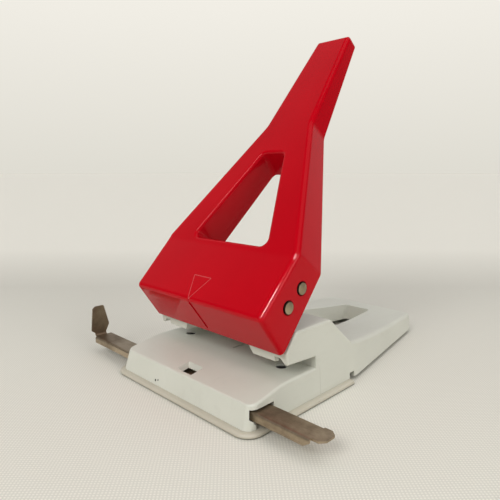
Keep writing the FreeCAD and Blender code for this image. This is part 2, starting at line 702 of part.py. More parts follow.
def guide_bush(side):
    """Shouldered bush that guides the punch in its tower."""
    x = side * HOLE_SPACING / 2
    body = upright(GUIDE_RADIUS - SEATED_GAP, x, 0, GUIDE_BOTTOM, SPRING_SEAT)
    head = upright(GUIDE_FLANGE_RADIUS - 0.1, x, 0, SPRING_SEAT - 1.2, SPRING_SEAT)
    bore = upright(PUNCH_RADIUS + RUNNING_GAP, x, 0, GUIDE_BOTTOM - 1, SPRING_SEAT + 1)
    return clean(body.fuse(head).cut(bore))


def die_bush(side):
    """Hardened die pressed in from under the table."""
    x = side * HOLE_SPACING / 2
    body = upright(DIE_RADIUS - SEATED_GAP, x, 0, DIE_BOTTOM, DIE_TOP)
    relief = Part.makeCone(PUNCH_RADIUS + 1.2, PUNCH_RADIUS + RUNNING_GAP, 4.0, vec(x, 0, DIE_BOTTOM),
                           vec(0, 0, 1))
    bore = upright(PUNCH_RADIUS + RUNNING_GAP, x, 0, DIE_BOTTOM - 1, DIE_TOP + 1)
    return clean(body.cut([relief, bore]))


# --- format rail -------------------------------------------------------------------------
def format_rail():
    """Inverted sheet channel with a bent-up stop at its left end and a tongue at its right."""
    y0, y1 = RAIL_Y
    low, high, sheet = RAIL_FLANGE_END, RAIL_TOP, RAIL_SHEET
    section = [(y0, low, 0), (y0, high, 1.4), (y1, high, 1.4), (y1, low, 0), (y1 - sheet, low, 0),
               (y1 - sheet, high - sheet, 0.4), (y0 + sheet, high - sheet, 0.4), (y0 + sheet, low, 0)]
    channel = slab(section, profile(RAIL_LEFT + 2.6), vec(RAIL_FLANGE_RIGHT - RAIL_LEFT - 2.6, 0, 0))
    channel = channel.cut(upright_prism([(RAIL_FLANGE_RIGHT + 1, high - 1.4), (RAIL_FLANGE_RIGHT - 4.2, low - 0.5),
                                         (RAIL_FLANGE_RIGHT + 1, low - 0.5)], (y0 - 5, y1 + 5)))
    tongue = slab([(RAIL_FLANGE_RIGHT - 1, y0 + 1.6, 0), (RAIL_RIGHT - 2.5, y0 + 1.6, 0),
                   (RAIL_RIGHT, y0 + 4.6, 1.5), (RAIL_RIGHT, y1 - 2.6, 1.5), (RAIL_RIGHT - 3.0, y1, 1.0),
                   (RAIL_FLANGE_RIGHT - 1, y1, 0)],
                  plan(high - sheet), vec(0, 0, sheet))
    return clean(channel.fuse([tongue, stop_bend(), stop_plate()]))


def stop_bend():
    """Quarter bend from the channel's top to the stop plate."""
    neck_y = (RAIL_Y[0] + 1.2, RAIL_Y[1] - 4.0)
    inner, outer = 1.6, 1.6 + RAIL_SHEET
    centre = vec(RAIL_LEFT + outer, neck_y[0], RAIL_TOP - RAIL_SHEET + outer)
    length = neck_y[1] - neck_y[0]
    ring = Part.makeCylinder(outer, length, centre, vec(0, 1, 0)).cut(
        Part.makeCylinder(inner, length, centre, vec(0, 1, 0)))
    return ring.common(box((centre.x - 5, centre.x), (neck_y[0], neck_y[1]), (centre.z - 5, centre.z)))


def stop_plate():
    """Upright trapezoid that the paper's edge rests against."""
    foot = RAIL_TOP - RAIL_SHEET + 1.6 + RAIL_SHEET
    outline = [(RAIL_Y[0] + 1.2, foot, 0), (RAIL_Y[0] - 1.5, foot + 2.0, 1.0), (RAIL_Y[0], TAB_TOP - 1.5, 1.2),
               (RAIL_Y[0] + 2.0, TAB_TOP, 1.0), (RAIL_Y[1] - 5.0, TAB_TOP, 1.4), (RAIL_Y[1] - 1.4, foot + 5.2, 1.4),
               (RAIL_Y[1] - 4.0, foot, 0)]
    return slab(outline, profile(RAIL_LEFT), vec(RAIL_SHEET, 0, 0))


def rail_cover():
    """Plate under the table that carries the rail."""
    bottom = COVER_TOP - COVER_THICKNESS
    half = COVER_HALF_LENGTH
    front, rear = COVER_Y
    plate = slab([(half, front, 5.0), (half, rear, 4.0), (-half, rear, 4.0), (-half, front, 5.0)],
                 plan(bottom), vec(0, 0, COVER_THICKNESS))
    die_relief = [upright(DIE_RADIUS + 4, s * HOLE_SPACING / 2, 0, 0, 20) for s in (-1, 1)]
    holes = [upright(1.7, x, SCREW_Y, 0, 20) for x in SCREW_X]
    return clean(plate.cut(holes + die_relief))


def rail_spring():
    """Bowed leaf spring that presses the rail up and holds its setting."""
    half, rise, thick = 17.0, 2.8, 0.5
    low = COVER_TOP + 0.02
    middle = (RAIL_Y[0] + RAIL_Y[1]) / 2
    reach = 4.0
    top_arc = Part.Arc(vec(-half, 0, low + thick), vec(0, 0, low + thick + rise), vec(half, 0, low + thick)).toShape()
    low_arc = Part.Arc(vec(half, 0, low), vec(0, 0, low + rise), vec(-half, 0, low)).toShape()
    left = vec(-half - reach, 0, low)
    right = vec(half + reach, 0, low)
    up = vec(0, 0, thick)
    edges = [Part.makeLine(left, left + up), Part.makeLine(left + up, vec(-half, 0, low + thick)), top_arc,
             Part.makeLine(vec(half, 0, low + thick), right + up), Part.makeLine(right + up, right),
             Part.makeLine(right, vec(half, 0, low)), low_arc, Part.makeLine(vec(-half, 0, low), left)]
    strip = Part.Face(Part.Wire(edges)).extrude(vec(0, 7.0, 0))
    strip.translate(vec(-24.0, middle - 3.5, 0))
    return strip


def rail_cover_screws():
    """Three pan-head screws that hold the rail cover."""
    head_top = COVER_TOP - COVER_THICKNESS
    screws = []
    for x in SCREW_X:
        head = upright(2.9, x, SCREW_Y, head_top - 1.6, head_top)
        head = head.makeFillet(0.7, edges_where(head, lambda p: p.z < head_top - 1.5))
        shank = upright(1.24, x, SCREW_Y, head_top, COVER_TOP + 5.5)
        slot = box((x - 3, x + 3), (SCREW_Y - 0.35, SCREW_Y + 0.35), (head_top - 2, head_top - 0.9))
        screws.append(clean(head.fuse(shank).cut(slot)))
    return Part.Compound(screws)


# --- chip tray and feet ---------------------------------------------------------------------
def tray_level(grow, z, rear=TRAY_REAR):
    """Plan of the tray at a level, grown from the block's lower edge."""
    return block_wire(grow, BLOCK_BOTTOM, rear, TRAY_CORNER_RADIUS).translated(vec(0, 0, z - BLOCK_BOTTOM))


def chip_tray():
    """Soft tray under the table block; a rim inside holds it in the casting."""
    outer = Part.makeLoft([tray_level(reach, z) for z, reach in TRAY_STEPS], True, True)
    rim_outer = -WALL - TRAY_RIM_GAP
    rim_rear = TRAY_REAR - 1.0
    rim = Part.Face(tray_level(rim_outer, TRAY_FLOOR, rim_rear)).extrude(vec(0, 0, TRAY_RIM_TOP - TRAY_FLOOR))
    well = Part.Face(tray_level(rim_outer - TRAY_RIM_WALL, TRAY_FLOOR, rim_rear - TRAY_RIM_WALL)).extrude(
        vec(0, 0, TRAY_RIM_TOP))
    return clean(outer.fuse(rim).cut(well))


def rear_foot(side):
    """Rubber foot with a stem pressed into the frame's boss."""
    x, y = side * FOOT_XY[0], FOOT_XY[1]
    pad = upright(FOOT_RADIUS, x, y, 0, FOOT_HEIGHT)
    pad = pad.makeFillet(0.8, edges_where(pad, lambda p: p.z < 0.01))
    return clean(pad.fuse(upright(FOOT_STEM_RADIUS - SEATED_GAP, x, y, FOOT_HEIGHT, 9.5)))


def build():
    """All sub-parts by node name."""
    parts = {
        "base_casting": base_casting(),
        "chip_tray": chip_tray(),
        "lever_casting": lever_casting(),
        "pivot_pin": domed_pin(PIVOT_UD, PIN_HALF_LENGTH, PIVOT_RING),
        "drive_pin": domed_pin(DRIVE_UD, PIN_HALF_LENGTH, DRIVE_RING),
        "pivot_pin_rings": ring_pair(PIVOT_UD, PIVOT_RING),
        "drive_pin_rings": ring_pair(DRIVE_UD, DRIVE_RING),
        "format_rail": format_rail(),
        "rail_cover": rail_cover(),
        "rail_spring": rail_spring(),
        "rail_cover_screws": rail_cover_screws(),
    }
    for side, word in ((-1, "left"), (1, "right")):
        parts["punch_" + word] = punch(side)
        parts["crosshead_" + word] = crosshead(side)
        parts["spring_collar_" + word] = spring_collar(side)
        parts["return_spring_" + word] = return_spring(side)
        parts["guide_bush_" + word] = guide_bush(side)
        parts["die_bush_" + word] = die_bush(side)
        parts["rear_foot_" + word] = rear_foot(side)
    return parts


os.makedirs("parts", exist_ok=True)
for node, shape in build().items():
    shape.exportStep("parts/" + node + ".step")
    print(node, shape.isValid(), len(shape.Solids), round(shape.Volume, 1))
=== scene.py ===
"""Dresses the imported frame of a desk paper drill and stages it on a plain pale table."""
import json
import logging
import math
from dataclasses import dataclass, field
from enum import Enum

import bpy
from mathutils import Matrix, Vector

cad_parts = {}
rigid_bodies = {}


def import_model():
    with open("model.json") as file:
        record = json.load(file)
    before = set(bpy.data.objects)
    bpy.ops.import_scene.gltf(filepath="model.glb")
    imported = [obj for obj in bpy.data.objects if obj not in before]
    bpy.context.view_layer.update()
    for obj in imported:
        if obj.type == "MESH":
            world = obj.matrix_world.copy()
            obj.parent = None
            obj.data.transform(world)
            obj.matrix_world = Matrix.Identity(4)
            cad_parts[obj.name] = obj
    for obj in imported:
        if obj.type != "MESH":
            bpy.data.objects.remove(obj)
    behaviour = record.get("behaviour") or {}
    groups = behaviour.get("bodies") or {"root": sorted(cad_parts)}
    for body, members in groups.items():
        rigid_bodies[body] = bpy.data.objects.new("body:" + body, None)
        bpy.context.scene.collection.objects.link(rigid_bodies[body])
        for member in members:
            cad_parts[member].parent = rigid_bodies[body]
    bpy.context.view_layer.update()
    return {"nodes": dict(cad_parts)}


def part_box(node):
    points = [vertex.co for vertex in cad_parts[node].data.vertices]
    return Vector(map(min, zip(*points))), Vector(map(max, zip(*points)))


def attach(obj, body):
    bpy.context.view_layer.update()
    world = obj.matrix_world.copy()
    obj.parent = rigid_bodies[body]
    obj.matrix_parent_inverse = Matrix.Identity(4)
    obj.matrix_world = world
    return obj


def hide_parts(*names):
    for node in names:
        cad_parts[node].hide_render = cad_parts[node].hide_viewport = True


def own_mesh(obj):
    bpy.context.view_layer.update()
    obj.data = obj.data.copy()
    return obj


LOG = logging.getLogger("paper_drill")
MM = 0.001
Colour = tuple[float, float, float, float]
Place = tuple[float, float, float]
Socket = bpy.types.NodeSocket
Feed = Socket | float | Vector | tuple[float, ...]
X_AXIS = Vector((1, 0, 0))
Y_AXIS = Vector((0, 1, 0))
Z_AXIS = Vector((0, 0, 1))

# sockets of a mix node that mixes colours
MIX_FIRST = 6
MIX_SECOND = 7
MIX_RESULT = 2
# radians that a wave texture of scale 1 turns in a metre
WAVE_RATE = 20.0
# layers of the grain effect
GRAIN_LAYERS = ("Broad", "Fine")


class Hand(Enum):
    """Side of the machine, as seen by the operator."""

    LEFT = "left"
    RIGHT = "right"


class Body(Enum):
    """Rigid bodies of the frame that pieces ride on."""

    BASE = "base"
    LEVER = "lever"
    RAIL = "rail"
    TRAY = "tray"


# --- node trees -------------------------------------------------------------------------


class Wiring:
    """Adds nodes to a node tree and links them."""

    def __init__(self, tree: bpy.types.NodeTree) -> None:
        """Take hold of a node tree."""
        self.tree = tree

    def join(self, source: Socket, target: Socket) -> None:
        """Link an output to an input."""
        self.tree.links.new(source, target)

    def feed(self, node: bpy.types.Node, inputs: dict[str | int, Feed]) -> None:
        """Feed inputs of a node.

        Args:
            node: The node.
            inputs: Output to link or value to set for each input, by the input's name or number.
        """
        for name, value in inputs.items():
            if isinstance(value, Socket):
                self.join(value, node.inputs[name])
            else:
                node.inputs[name].default_value = value

    def node(self, kind: str, inputs: dict[str | int, Feed], **settings: object) -> bpy.types.Node:
        """Add a node.

        Args:
            kind: Kind of node.
            inputs: Output to link or value to set for each input, by the input's name or number.
            settings: Properties of the node.

        Returns:
            The node.
        """
        node = self.tree.nodes.new(kind)
        for name, setting in settings.items():
            setattr(node, name, setting)
        self.feed(node, inputs)
        return node

    def maths(self, operation: str, *values: Feed) -> Socket:
        """Work out a number from numbers."""
        return self.node("ShaderNodeMath", dict(enumerate(values)), operation=operation).outputs["Value"]

    def vector_maths(self, operation: str, *values: Feed) -> bpy.types.Node:
        """Work with vectors and return the node."""
        return self.node("ShaderNodeVectorMath", dict(enumerate(values)), operation=operation)

    def ranged(self, value: Socket, low: Feed, high: Feed, to_low: Feed = 0.0,
               to_high: Feed = 1.0) -> Socket:
        """Map a value from one range to another.

        Args:
            value: The value.
            low: Where its range starts.
            high: Where its range ends.
            to_low: Result at the start and before it.
            to_high: Result at the end and past it.

        Returns:
            The result.
        """
        limits = {"From Min": low, "From Max": high, "To Min": to_low, "To Max": to_high}
        return self.node("ShaderNodeMapRange", {"Value": value} | limits, clamp=True).outputs["Result"]

    def bumped(self, height: Socket, strength: Feed, distance: Feed, under: Socket | None = None) -> Socket:
        """Bend the normal by a height.

        Args:
            height: The height.
            strength: Share of the bending.
            distance: Height in metres at the value 1.
            under: Normal to bend further, or None for the surface's own.

        Returns:
            The normal.
        """
        bump = self.node("ShaderNodeBump", {"Height": height, "Strength": strength, "Distance": distance})
        if under is not None:
            self.join(under, bump.inputs["Normal"])
        return bump.outputs["Normal"]


@dataclass(frozen=True)
class Patches:
    """Cloudy patches or specks.

    scale counts features in a metre, low and high are the noise values between which a patch sets in, detail
    counts octaves and rough is the weight of the finer ones.
    """

    scale: float
    low: float = 0.0
    high: float = 1.0
    detail: float = 3.0
    rough: float = 0.5


@dataclass(frozen=True)
class Layer:
    """Unevenness of one fineness, its height in metres."""

    scale: float
    strength: float
    height: float
    detail: float = 2.0
    rough: float = 0.5

    def numbers(self, name: str) -> dict[str, float]:
        """Values of the grain effect's inputs for the layer of that name."""
        return {f"{name} Scale": self.scale, f"{name} Detail": self.detail, f"{name} Roughness": self.rough,
                f"{name} Strength": self.strength, f"{name} Height": self.height}


@dataclass(frozen=True)
class Knock:
    """Small ragged spot, solid up to one multiple of its radius and gone at another."""

    place: Place
    radius: float
    solid: float = 1.25
    gone: float = 1.6


class SharedEffect(Wiring):
    """Shader node group that several finishes place, each with its own values."""

    def __init__(self, name: str, vectors: tuple[str, ...], numbers: dict[str, float], output: str,
                 output_kind: str) -> None:
        """Start a group with its named sockets.

        Args:
            name: Name of the effect.
            vectors: Names of its coordinate inputs.
            numbers: Names and first values of its number inputs.
            output: Name of its output.
            output_kind: Socket type of its output.
        """
        super().__init__(bpy.data.node_groups.new(name, "ShaderNodeTree"))
        sockets = self.tree.interface
        for socket in vectors:
            sockets.new_socket(name=socket, in_out="INPUT", socket_type="NodeSocketVector")
        for socket, number in numbers.items():
            made = sockets.new_socket(name=socket, in_out="INPUT", socket_type="NodeSocketFloat")
            made.default_value = number
        sockets.new_socket(name=output, in_out="OUTPUT", socket_type=output_kind)
        self.given = self.node("NodeGroupInput", {}).outputs
        self.result = self.node("NodeGroupOutput", {}).inputs[output]

    def noise(self, layer: str = "") -> Socket:
        """Noise by the inputs whose names start with a layer's name."""
        inputs = {part: self.given[layer + part] for part in ("Vector", "Scale", "Detail", "Roughness")}
        return self.node("ShaderNodeTexNoise", inputs).outputs["Fac"]


class Effects:
    """Surface effects that the finishes share, built once."""

    def __init__(self) -> None:
        """Build the node groups."""
        self.blotches = self.blotch_group()
        self.grain = self.grain_group()

    def blotch_group(self) -> bpy.types.NodeTree:
        """Build the effect of cloudy patches or specks, a mask between two values.

        Returns:
            The node group.
        """
        numbers = {"Scale": 30.0, "Detail": 3.0, "Roughness": 0.5, "Low": 0.4, "High": 0.6, "Least": 0.0,
                   "Most": 1.0}
        effect = SharedEffect("blotches", ("Vector",), numbers, "Mask", "NodeSocketFloat")
        given = effect.given
        mask = effect.ranged(effect.noise(), given["Low"], given["High"], given["Least"], given["Most"])
        effect.join(mask, effect.result)
        return effect.tree

    def grain_group(self) -> bpy.types.NodeTree:
        """Build the effect of unevenness on the normal, a broad layer under a fine one.

        Returns:
            The node group.
        """
        numbers = {}
        for layer in GRAIN_LAYERS:
            numbers |= Layer(100.0, 0.2, 0.1 * MM).numbers(layer)
        effect = SharedEffect("grain", tuple(f"{layer} Vector" for layer in GRAIN_LAYERS), numbers, "Normal",
                              "NodeSocketVector")
        normal = None
        for layer in GRAIN_LAYERS:
            strength, height = effect.given[f"{layer} Strength"], effect.given[f"{layer} Height"]
            normal = effect.bumped(effect.noise(f"{layer} "), strength, height, normal)
        effect.join(normal, effect.result)
        return effect.tree


class Shading(Wiring):
    """Builds one material's nodes around a Principled shader."""

    def __init__(self, name: str, effects: Effects) -> None:
        """Start a material with a plain shader.

        Args:
            name: Name of the finish.
            effects: The shared effects.
        """
        self.effects = effects
        self.material = bpy.data.materials.new(name)
        self.material.use_nodes = True
        super().__init__(self.material.node_tree)
        self.tree.nodes.clear()
        self.shader = self.node("ShaderNodeBsdfPrincipled", {})
        self.node("ShaderNodeOutputMaterial", {"Surface": self.shader.outputs["BSDF"]})
        self.place = self.node("ShaderNodeTexCoord", {}).outputs["Object"]

    def surface(self, inputs: dict[str, Feed]) -> None:
        """Feed inputs of the shader."""
        self.feed(self.shader, inputs)

    def stretched(self, scale: Place) -> Socket:
        """Object coordinates stretched along the axes."""
        return self.node("ShaderNodeMapping", {"Vector": self.place, "Scale": scale}).outputs["Vector"]

    def blotches(self, patches: Patches, least: float = 0.0, most: float = 1.0,
                 where: Socket | None = None) -> Socket:
        """Mask of cloudy patches or specks.

        Args:
            patches: The patches.
            least: Value between them.
            most: Value on them.
            where: Coordinates, or None for Object coordinates.

        Returns:
            The mask.
        """
        placed = self.node("ShaderNodeGroup", {
            "Scale": patches.scale, "Low": patches.low, "High": patches.high, "Detail": patches.detail,
            "Roughness": patches.rough, "Least": least, "Most": most, "Vector": where or self.place},
            node_tree=self.effects.blotches)
        return placed.outputs["Mask"]

    def grain(self, broad: Layer, fine: Layer, where: Socket | None = None) -> None:
        """Roughen the shader's normal.

        Args:
            broad: The layer underneath.
            fine: The layer on top.
            where: Coordinates of the broad layer, or None for Object coordinates.
        """
        inputs = {"Broad Vector": where or self.place, "Fine Vector": self.place}
        for name, layer in zip(GRAIN_LAYERS, (broad, fine)):
            inputs |= layer.numbers(name)
        placed = self.node("ShaderNodeGroup", inputs, node_tree=self.effects.grain)
        self.surface({"Normal": placed.outputs["Normal"]})

    def mixed(self, share: Socket, first: Colour | Socket, second: Colour | Socket) -> Socket:
        """Mix two colours.

        Args:
            share: Share of the second colour.
            first: The first colour.
            second: The second colour.

        Returns:
            The mixture.
        """
        inputs = {"Factor": share, MIX_FIRST: first, MIX_SECOND: second}
        return self.node("ShaderNodeMix", inputs, data_type="RGBA").outputs[MIX_RESULT]

    def product(self, first: Socket, second: Socket) -> Socket:
        """Multiply two values."""
        return self.maths("MULTIPLY", first, second)

    def along(self, direction: Vector) -> Socket:
        """Distance of a point from the origin along a direction, in metres."""
        return self.vector_maths("DOT_PRODUCT", self.place, direction).outputs["Value"]

    def spots(self, knocks: tuple[Knock, ...]) -> Socket:
        """Share of small ragged spots.

        Args:
            knocks: The spots.

        Returns:
            1 inside a spot and 0 elsewhere.
        """
        ragged = self.blotches(Patches(900.0, detail=2.0))
        shares = []
        for knock in knocks:
            distance = self.vector_maths("DISTANCE", self.place, knock.place).outputs["Value"]
            reach = self.maths("MULTIPLY_ADD", ragged, knock.radius, distance)
            shares.append(self.ranged(reach, knock.radius * knock.solid, knock.radius * knock.gone, 1.0, 0.0))
        total = shares[0]
        for share in shares[1:]:
            total = self.maths("MAXIMUM", total, share)
        return total


# --- finishes ---------------------------------------------------------------------------


@dataclass(frozen=True)
class Parting:
    """Stained parting line of a casting across y, up to a height."""

    y: float
    top: float
    half: float = 0.3 * MM
    fade: float = 1.0 * MM
    share: float = 0.35

    def stain(self, make: Shading) -> Socket:
        """Share of the stain.

        Args:
            make: The finish being built.

        Returns:
            The share.
        """
        along = make.along(Y_AXIS)
        line = make.product(make.ranged(along, self.y - self.half, self.y),
                            make.ranged(along, self.y, self.y + self.half, 1.0, 0.0))
        below = make.ranged(make.along(Z_AXIS), self.top, self.top + self.fade, self.share, 0.0)
        return make.product(line, below)


@dataclass(frozen=True)
class Enamel:
    """Gloss enamel over a die-casting, with orange peel, mottling and small chips."""

    name: str
    tone: Colour
    shade: Colour
    chip: Colour
    bare: Colour = (0.02, 0.018, 0.016, 1.0)
    gloss: float = 0.3
    coat: float = 0.1
    coat_roughness: float = 0.12
    level: float = 0.5
    chip_scale: float = 620.0
    chip_limit: float = 0.78
    chip_soft: float = 0.02
    knocks: tuple[Knock, ...] = ()
    grime: float = 0.0
    dulling: float = 0.12
    parting: Parting | None = None
    mottled: Patches = Patches(22.0, 0.35, 0.7, detail=4.0)
    chipped: Patches = Patches(38.0, 0.56, 0.66, detail=2.0)
    rubbed: Patches = Patches(75.0, 0.55, 0.72, detail=6.0, rough=0.75)
    rubbed_along: Place = (1.0, 0.3, 0.8)
    dulled: Patches = Patches(90.0, 0.3, 0.75, detail=6.0, rough=0.7)
    dulled_along: Place = (1.0, 0.35, 1.0)
    waves: Layer = Layer(34.0, 0.25, 0.4 * MM)
    peel: Layer = Layer(420.0, 0.16, 0.12 * MM, rough=0.4)

    def material(self, effects: Effects) -> bpy.types.Material:
        """Build the enamel.

        Args:
            effects: The shared effects.

        Returns:
            The material.
        """
        make = Shading(self.name, effects)
        chip_full = self.chip_limit + self.chip_soft
        specks = Patches(self.chip_scale, self.chip_limit, chip_full, detail=2.0, rough=0.6)
        coloured = make.mixed(make.blotches(self.mottled), self.tone, self.shade)
        rubbed = make.blotches(self.rubbed, most=self.grime, where=make.stretched(self.rubbed_along))
        coloured = make.mixed(rubbed, coloured, self.chip)
        chips = make.product(make.blotches(specks), make.blotches(self.chipped))
        coloured = make.mixed(chips, coloured, self.chip)
        if self.parting is not None:
            coloured = make.mixed(self.parting.stain(make), coloured, self.chip)
        if self.knocks:
            coloured = make.mixed(make.spots(self.knocks), coloured, self.bare)
        dull = make.blotches(self.dulled, self.gloss - self.dulling / 3, self.gloss + self.dulling,
                             make.stretched(self.dulled_along))
        make.surface({"Base Color": coloured, "Roughness": dull, "Coat Weight": self.coat,
                      "Coat Roughness": self.coat_roughness, "Specular IOR Level": self.level})
        make.grain(self.waves, self.peel)
        return make.material


@dataclass(frozen=True)
class SoftPlastic:
    """Satin moulded plastic, a little yellowed, with painted shadow along its lower edge."""

    name: str
    tone: Colour
    aged: Colour
    roughness: float = 0.5
    duller: float = 0.1
    shinier: float = 0.06
    lower_edge_shade: Colour = (0.17, 0.165, 0.125, 1.0)
    shaded_up_to: float = 0.55 * MM
    unshaded_from: float = 1.21 * MM
    least_shaded: float = 0.75
    depth: float = 0.06
    depths: Place = (2.0 * MM, 1.6 * MM, 1.0 * MM)
    yellowed: Patches = Patches(14.0, 0.35, 0.7, detail=5.0, rough=0.6)
    shade_patches: Patches = Patches(45.0, 0.3, 0.6, detail=4.0)
    handled: Patches = Patches(120.0, 0.3, 0.7, detail=4.0)
    waves: Layer = Layer(60.0, 0.2, 0.3 * MM, detail=3.0)
    pores: Layer = Layer(1500.0, 0.12, 0.06 * MM)

    def material(self, effects: Effects) -> bpy.types.Material:
        """Build the plastic.

        Args:
            effects: The shared effects.

        Returns:
            The material.
        """
        make = Shading(self.name, effects)
        coloured = make.mixed(make.blotches(self.yellowed), self.tone, self.aged)
        # painted shadow along the lower edge, where the tray meets the table
        low = make.ranged(make.along(Z_AXIS), self.shaded_up_to, self.unshaded_from, 1.0, 0.0)
        lower_shade = make.product(low, make.blotches(self.shade_patches, least=self.least_shaded))
        dull = make.blotches(self.handled, self.roughness - self.shinier, self.roughness + self.duller)
        make.surface({"Base Color": make.mixed(lower_shade, coloured, self.lower_edge_shade), "Roughness": dull,
                      "Subsurface Weight": self.depth, "Subsurface Radius": self.depths})
        make.grain(self.waves, self.pores)
        return make.material


@dataclass(frozen=True)
class DarkTop:
    """Painted shade: a browner top face of a rail, fading out along x."""

    height: float
    near: float
    far: float
    share: float = 0.45
    below: float = 0.3 * MM
    full: float = 0.1 * MM

    def stain(self, make: Shading) -> Socket:
        """Share of the painted shade.

        Args:
            make: The finish being built.

        Returns:
            The share.
        """
        top = make.ranged(make.along(Z_AXIS), self.height - self.below, self.height - self.full)
        inner = make.ranged(make.along(X_AXIS), self.near, self.far, self.share, 0.0)
        return make.product(top, inner)


@dataclass(frozen=True)
class GapShadow:
    """Painted shadow of the clearance gap: a dark rim round the end of a pin that lies along x."""

    y: float
    z: float
    radius: float = 3.12 * MM
    fade: float = 0.12 * MM
    colour: Colour = (0.05, 0.04, 0.03, 1.0)

    def share(self, make: Shading) -> Socket:
        """Share of the painted gap shadow.

        Args:
            make: The finish being built.

        Returns:
            The share.
        """
        offset = make.vector_maths("MULTIPLY_ADD", make.place, (0.0, 1.0, 1.0), (0.0, -self.y, -self.z))
        radius = make.vector_maths("LENGTH", offset.outputs["Vector"]).outputs["Value"]
        return make.ranged(radius, self.radius, self.radius + self.fade)


@dataclass(frozen=True)
class Plating:
    """Metal with drawing lines, cloudy stains, worn spots, and painted shade where it is given."""

    name: str
    tone: Colour
    stain: Colour
    roughness: float = 0.34
    duller: float = 0.16
    metallic: float = 0.95
    drawn: Place = (0.06, 1.0, 1.0)
    dark_top: DarkTop | None = None
    gap_shadow: GapShadow | None = None
    clouded: Patches = Patches(46.0, 0.38, 0.66, detail=6.0, rough=0.65)
    lined: Patches = Patches(1500.0, 0.45, 0.75, rough=0.6)
    line_share: float = 0.35
    lines: Layer = Layer(1500.0, 0.3, 0.06 * MM, detail=3.0, rough=0.6)
    dents: Layer = Layer(240.0, 0.15, 0.1 * MM, detail=3.0)

    def material(self, effects: Effects) -> bpy.types.Material:
        """Build the plated metal.

        Args:
            effects: The shared effects.

        Returns:
            The material.
        """
        make = Shading(self.name, effects)
        drawn = make.stretched(self.drawn)
        clouds = make.blotches(self.clouded)
        coloured = make.mixed(clouds, self.tone, self.stain)
        lines = make.blotches(self.lined, most=self.line_share, where=drawn)
        coloured = make.mixed(lines, coloured, self.stain)
        # painted shade on the rail's top face, strongest near the slot
        if self.dark_top is not None:
            coloured = make.mixed(self.dark_top.stain(make), coloured, self.stain)
        # painted shadow of the gap round the pin's end
        if self.gap_shadow is not None:
            coloured = make.mixed(self.gap_shadow.share(make), coloured, self.gap_shadow.colour)
        dull = make.ranged(clouds, 0.0, 1.0, self.roughness, self.roughness + self.duller)
        make.surface({"Base Color": coloured, "Metallic": self.metallic, "Roughness": dull})
        make.grain(self.lines, self.dents, drawn)
        return make.material


@dataclass(frozen=True)
class Rubber:
    """Matt black rubber with paler dust."""

    name: str
    tone: Colour = (0.018, 0.018, 0.018, 1.0)
    dust: Colour = (0.05, 0.05, 0.048, 1.0)
    least_rough: float = 0.65
    most_rough: float = 0.85
    dusted: Patches = Patches(180.0, 0.2, 0.8)
    worn: Patches = Patches(300.0, 0.3, 0.7)
    waves: Layer = Layer(120.0, 0.2, 0.2 * MM)
    pores: Layer = Layer(900.0, 0.3, 0.1 * MM, detail=3.0)

    def material(self, effects: Effects) -> bpy.types.Material:
        """Build the rubber.

        Args:
            effects: The shared effects.

        Returns:
            The material.
        """
        make = Shading(self.name, effects)
        make.surface({"Base Color": make.mixed(make.blotches(self.dusted), self.tone, self.dust),
                      "Roughness": make.blotches(self.worn, self.least_rough, self.most_rough)})
        make.grain(self.waves, self.pores)
        return make.material


@dataclass(frozen=True)
class TableCloth:
    """Pale matt cloth with a fine weave and painted shade in a soft fold behind the machine.

    near_at, fold_at and far_at are distances along away, and pitch is the distance between two threads.
    """

    name: str
    near: Colour
    fold: Colour
    far: Colour
    away: Vector
    near_at: float = -0.12
    fold_at: float = 0.237
    far_at: float = 0.49
    gap: Colour = (0.45, 0.44, 0.40, 1.0)
    contrast: float = 0.40
    pitch: float = 1.5 * MM
    waver: float = 1.0
    skew: float = math.radians(2.0)
    thread_relief: tuple[float, float] = (0.15, 0.3 * MM)
    fibres: Patches = Patches(600.0)
    fibre_relief: tuple[float, float] = (0.1, 0.2 * MM)

    def material(self, effects: Effects) -> bpy.types.Material:
        """Build the cloth.

        Args:
            effects: The shared effects.

        Returns:
            The material.
        """
        make = Shading(self.name, effects)
        along = make.along(self.away)
        # painted shade, darkest at the fold
        coloured = make.mixed(make.ranged(along, self.near_at, self.fold_at), self.near, self.fold)
        coloured = make.mixed(make.ranged(along, self.fold_at, self.far_at), coloured, self.far)
        turn = (0.0, 0.0, math.atan2(self.away.x, self.away.y) - self.skew)
        turned = make.node("ShaderNodeMapping", {"Vector": make.place, "Rotation": turn}).outputs["Vector"]
        thread = {"Vector": turned, "Scale": math.tau / WAVE_RATE / self.pitch, "Distortion": self.waver}
        warp, weft = [make.node("ShaderNodeTexWave", thread, bands_direction=direction).outputs["Fac"]
                      for direction in ("X", "Y")]
        weave = make.product(warp, weft)
        gaps = make.ranged(weave, 0.0, 1.0, self.contrast, 0.0)
        threads = make.bumped(weave, *self.thread_relief)
        make.surface({"Base Color": make.mixed(gaps, coloured, self.gap), "Roughness": 1.0,
                      "Specular IOR Level": 0.0,
                      "Normal": make.bumped(make.blotches(self.fibres), *self.fibre_relief, threads)})
        return make.material


# stretch of the lines on metal that was not drawn
UNDRAWN = (1.0, 1.0, 1.0)


